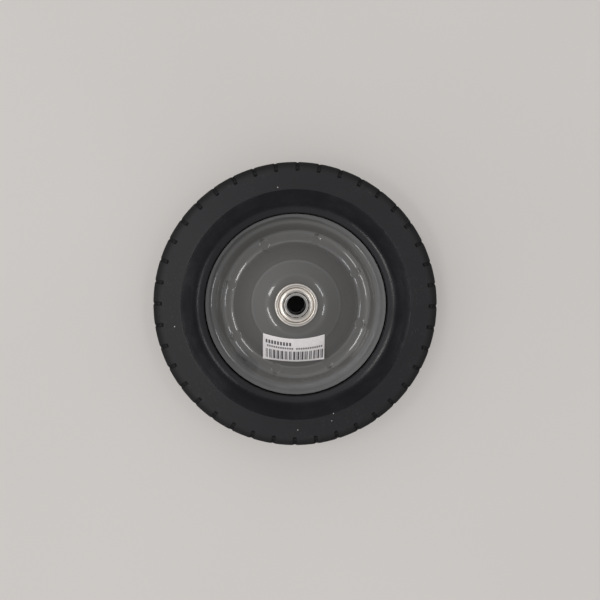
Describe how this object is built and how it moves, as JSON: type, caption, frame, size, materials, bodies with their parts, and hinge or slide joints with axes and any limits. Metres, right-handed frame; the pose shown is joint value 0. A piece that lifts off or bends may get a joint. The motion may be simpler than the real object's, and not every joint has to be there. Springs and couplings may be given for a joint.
{
  "type": "wheel and tyre assembly",
  "caption": "Dished steel disc wheel with a hollow rubber tyre, notched tread shoulders, flanged ball bearings and a plain axle bore.",
  "frame": {"origin": "centre of the wheel, on the axle line, midway between the tyre's two flat lands", "axes": "+Z along the axle line, out of the side that carries the paper label; +X and +Y across the wheel"},
  "size_m": [0.2032, 0.2032, 0.0444],
  "materials": {
    "tyre_rubber": "matt moulded rubber",
    "disc_enamel": "glossy grey enamel",
    "bearing_zinc": "bright zinc plate",
    "race_steel": "turned steel",
    "ball_steel": "polished",
    "label_paper": "matt white paper"
  },
  "bodies": {
    "wheel": {"tyre": "tyre_rubber", "upper_disc": "disc_enamel", "lower_disc": "disc_enamel", "upper_bearing_cup": "bearing_zinc", "upper_bearing_cap": "bearing_zinc", "lower_bearing_cup": "bearing_zinc", "lower_bearing_cap": "bearing_zinc", "paper_label": "label_paper"},
    "upper_race": {"upper_inner_race": "race_steel"},
    "upper_balls": {"upper_ball_01": "ball_steel", "upper_ball_02": "ball_steel", "upper_ball_03": "ball_steel", "upper_ball_04": "ball_steel", "upper_ball_05": "ball_steel", "upper_ball_06": "ball_steel", "upper_ball_07": "ball_steel", "upper_ball_08": "ball_steel", "upper_ball_09": "ball_steel", "upper_ball_10": "ball_steel"},
    "lower_race": {"lower_inner_race": "race_steel"},
    "lower_balls": {"lower_ball_01": "ball_steel", "lower_ball_02": "ball_steel", "lower_ball_03": "ball_steel", "lower_ball_04": "ball_steel", "lower_ball_05": "ball_steel", "lower_ball_06": "ball_steel", "lower_ball_07": "ball_steel", "lower_ball_08": "ball_steel", "lower_ball_09": "ball_steel", "lower_ball_10": "ball_steel"}
  },
  "joints": [
    {"name": "upper_race_turn", "type": "hinge", "parent": "wheel", "child": "upper_race", "pos_m": [0, 0, 0.0181], "axis": [0, 0, 1], "continuous": true},
    {"name": "upper_balls_orbit", "type": "hinge", "parent": "wheel", "child": "upper_balls", "pos_m": [0, 0, 0.0181], "axis": [0, 0, 1], "continuous": true},
    {"name": "lower_race_turn", "type": "hinge", "parent": "wheel", "child": "lower_race", "pos_m": [0, 0, -0.0181], "axis": [0, 0, 1], "continuous": true},
    {"name": "lower_balls_orbit", "type": "hinge", "parent": "wheel", "child": "lower_balls", "pos_m": [0, 0, -0.0181], "axis": [0, 0, 1], "continuous": true}
  ],
  "couplings": [
    {"joint": "upper_balls_orbit", "follows": "upper_race_turn", "ratio": 0.37182},
    {"joint": "lower_balls_orbit", "follows": "lower_race_turn", "ratio": 0.37182}
  ]
}
